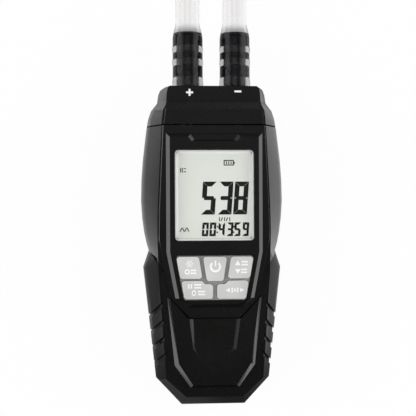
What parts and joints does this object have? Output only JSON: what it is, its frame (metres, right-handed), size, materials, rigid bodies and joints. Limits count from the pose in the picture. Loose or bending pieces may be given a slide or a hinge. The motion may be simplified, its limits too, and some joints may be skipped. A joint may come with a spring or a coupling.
{
  "type": "digital manometer",
  "caption": "Handheld differential pressure meter with a display, keypad, ridged side grips, sliding battery door and clear hoses on barbed ports.",
  "frame": {"origin": "middle of the meter's length and width (ports included, hoses left out) on its flat back face", "axes": "+Z out of the display, +Y along the meter towards the hose ports, +X to the right as the display is read; the meter lies on its back"},
  "size_m": [0.0886, 0.3282, 0.0326],
  "materials": {
    "housing_grey": "fine moulded texture",
    "front_black": "satin",
    "grip_rubber": "matte",
    "cell_sleeve": "printed sleeve, plain",
    "spring_steel": "nickel plated",
    "board_green": "solder mask",
    "chip_black": "moulded epoxy",
    "silicone_tube": "translucent",
    "white_plastic": "satin",
    "lcd_grey": "reflective display",
    "window_clear": "clear acrylic",
    "mat_grey": "matte",
    "key_light_grey": "smooth satin",
    "port_black": "polished",
    "seal_rubber": "matte",
    "nut_brass": "turned",
    "screw_steel": "zinc plated",
    "hose_clear": "clear soft PVC",
    "tie_fabric": "woven strap"
  },
  "bodies": {
    "housing": {"back_shell": "housing_grey", "front_shell": "front_black", "top_cap": "housing_grey", "grip_left": "grip_rubber", "grip_right": "grip_rubber", "cell_left": "cell_sleeve", "cell_middle": "cell_sleeve", "cell_right": "cell_sleeve", "contact_springs": "spring_steel", "contact_plates": "spring_steel", "main_board": "board_green", "board_chips": "chip_black", "pressure_sensor": "chip_black", "sensor_tube_plus": "silicone_tube", "sensor_tube_minus": "silicone_tube", "lcd_frame": "white_plastic", "lcd_light_guide": "white_plastic", "lcd_glass": "lcd_grey", "zebra_strip": "mat_grey", "display_window": "window_clear", "keypad_mat": "mat_grey", "port_plus": "port_black", "port_minus": "port_black", "port_seals": "seal_rubber", "port_nuts": "nut_brass", "case_screws": "screw_steel", "board_screws": "screw_steel", "hose_cuff_plus": "hose_clear", "hose_run_plus": "hose_clear", "hose_end_plus": "hose_clear", "hose_cuff_minus": "hose_clear", "hose_run_minus": "hose_clear", "hose_end_minus": "hose_clear", "hose_tie": "tie_fabric"},
    "door": {"battery_door": "housing_grey"},
    "backlight_button": {"key_backlight": "key_light_grey"},
    "power_button": {"key_power": "key_light_grey"},
    "max_min_button": {"key_max_min": "key_light_grey"},
    "hold_zero_button": {"key_hold_zero": "key_light_grey"},
    "units_button": {"key_units": "key_light_grey"}
  },
  "joints": [
    {"name": "battery_door_slide", "type": "slide", "parent": "housing", "child": "door", "axis": [0, -1, 0], "range_m": [0, 0.008]},
    {"name": "backlight_press", "type": "slide", "parent": "housing", "child": "backlight_button", "axis": [0, 0, -1], "range_m": [0, 0.0008], "stiffness_N_per_m": 600, "springref_m": -0.0005},
    {"name": "power_press", "type": "slide", "parent": "housing", "child": "power_button", "axis": [0, 0, -1], "range_m": [0, 0.0008], "stiffness_N_per_m": 600, "springref_m": -0.0005},
    {"name": "max_min_press", "type": "slide", "parent": "housing", "child": "max_min_button", "axis": [0, 0, -1], "range_m": [0, 0.0008], "stiffness_N_per_m": 600, "springref_m": -0.0005},
    {"name": "hold_zero_press", "type": "slide", "parent": "housing", "child": "hold_zero_button", "axis": [0, 0, -1], "range_m": [0, 0.0008], "stiffness_N_per_m": 600, "springref_m": -0.0005},
    {"name": "units_press", "type": "slide", "parent": "housing", "child": "units_button", "axis": [0, 0, -1], "range_m": [0, 0.0008], "stiffness_N_per_m": 600, "springref_m": -0.0005}
  ]
}
